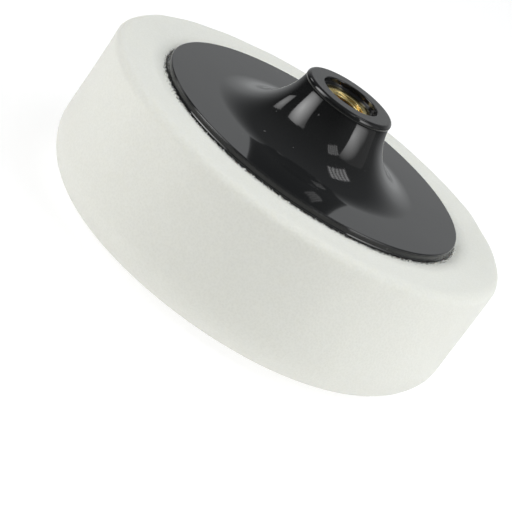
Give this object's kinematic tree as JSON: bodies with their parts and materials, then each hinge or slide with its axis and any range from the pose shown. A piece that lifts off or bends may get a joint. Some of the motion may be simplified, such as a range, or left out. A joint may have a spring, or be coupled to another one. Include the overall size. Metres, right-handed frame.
{
  "type": "polishing pad",
  "caption": "Foam polishing disc bonded to a moulded backing plate whose flared hub holds a threaded brass insert for a rotary polisher.",
  "frame": {"origin": "centre of the foam's flat working face, which is the lowest point of the pad", "axes": "+Z along the spindle axis, from the working face towards the mouth of the hub; the pad is round, so X and Y are any two directions across it"},
  "size_m": [0.15, 0.15, 0.0725],
  "materials": {
    "white_foam": "open-cell polyether foam, fine cells, matt",
    "clear_adhesive": "cured contact adhesive, dull satin",
    "black_plastic": "injection moulded, glossy",
    "turned_brass": "bright turned, bare"
  },
  "bodies": {
    "root": {"foam_pad": "white_foam", "adhesive_layer": "clear_adhesive", "backing_plate": "black_plastic", "thread_insert": "turned_brass"}
  },
  "joints": []
}
